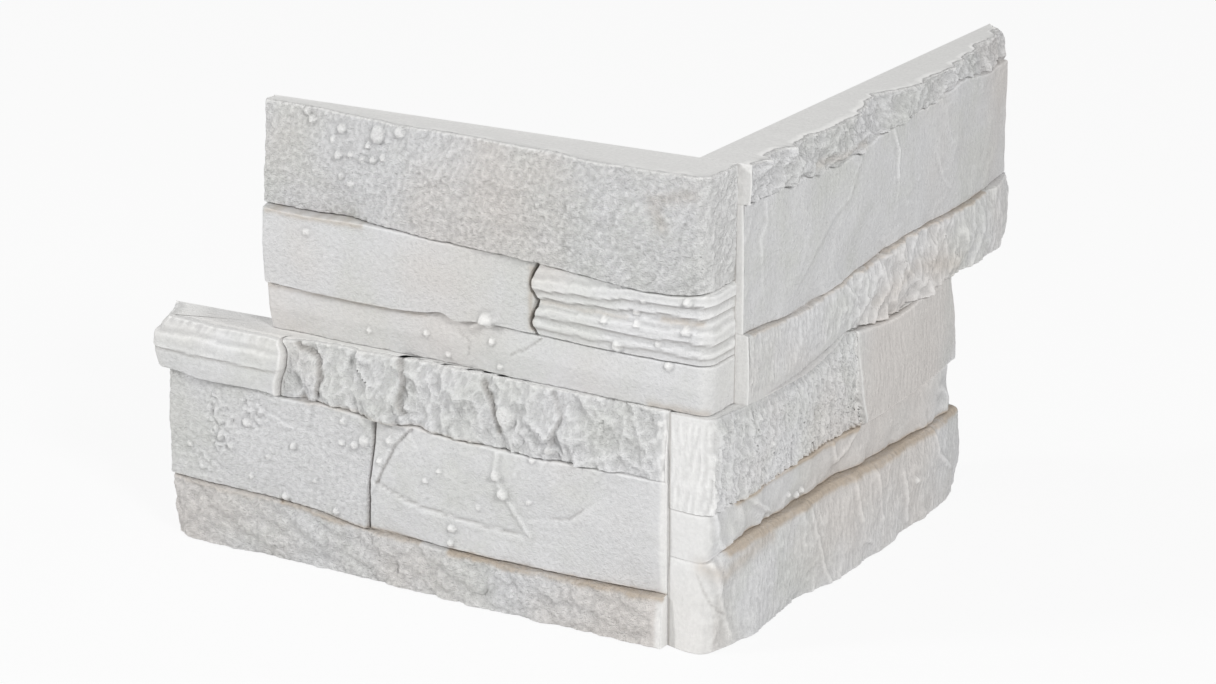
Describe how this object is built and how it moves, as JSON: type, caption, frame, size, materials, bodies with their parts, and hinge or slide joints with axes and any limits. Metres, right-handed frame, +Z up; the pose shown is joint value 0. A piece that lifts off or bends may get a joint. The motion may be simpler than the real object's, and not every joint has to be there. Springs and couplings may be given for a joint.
{
  "type": "corner brick slip",
  "caption": "Finger-jointed outside-corner unit of cast stone cladding: toothed slips with split, smooth and ledged stone faces and flat bond faces.",
  "frame": {"origin": "foot of the wall's outer arris, where the two bond planes and the bottom plane meet", "axes": "+Z up; the left casting's bond face is the plane y = 0 and looks along +Y, its run leaves along -X; the right casting's bond face is the plane x = 0 and looks along -X, its run leaves along +Y"},
  "size_m": [0.2941, 0.3111, 0.2],
  "materials": {
    "left_casting": "matte cast stone, off-white with faint cream and tan tones",
    "right_casting": "matte cast stone, off-white with faint cream and tan tones"
  },
  "bodies": {
    "root": {"left_wing_slip": "left_casting", "right_wing_slip": "right_casting"}
  },
  "joints": []
}
